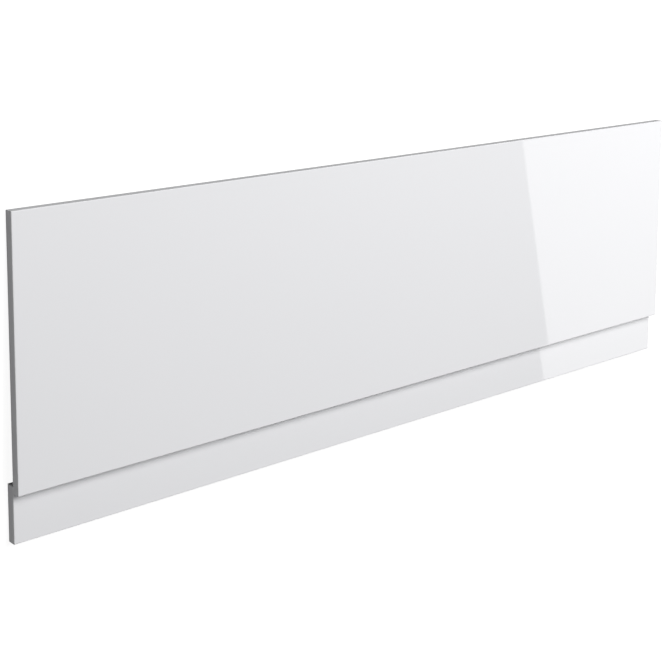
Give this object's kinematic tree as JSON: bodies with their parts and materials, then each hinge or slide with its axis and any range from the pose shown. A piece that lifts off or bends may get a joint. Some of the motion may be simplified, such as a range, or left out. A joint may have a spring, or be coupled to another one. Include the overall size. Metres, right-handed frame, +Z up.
{
  "type": "bath panel",
  "caption": "Long gloss white bath front panel with a plinth lapped behind its bottom edge; it closes the side of a bath.",
  "frame": {"origin": "on the floor, under the middle of the panel's outline as it lies on its back", "axes": "+X along the length, +Y towards the edge that goes under the bath's rim, +Z up; the front face looks up and slopes down by 2.24 degrees towards +Y, because the plinth behind it props that side up"},
  "size_m": [1.7, 0.561, 0.0364],
  "materials": {
    "gloss_white_board": "gloss"
  },
  "bodies": {
    "root": {"main_panel": "gloss_white_board", "plinth": "gloss_white_board"}
  },
  "joints": []
}
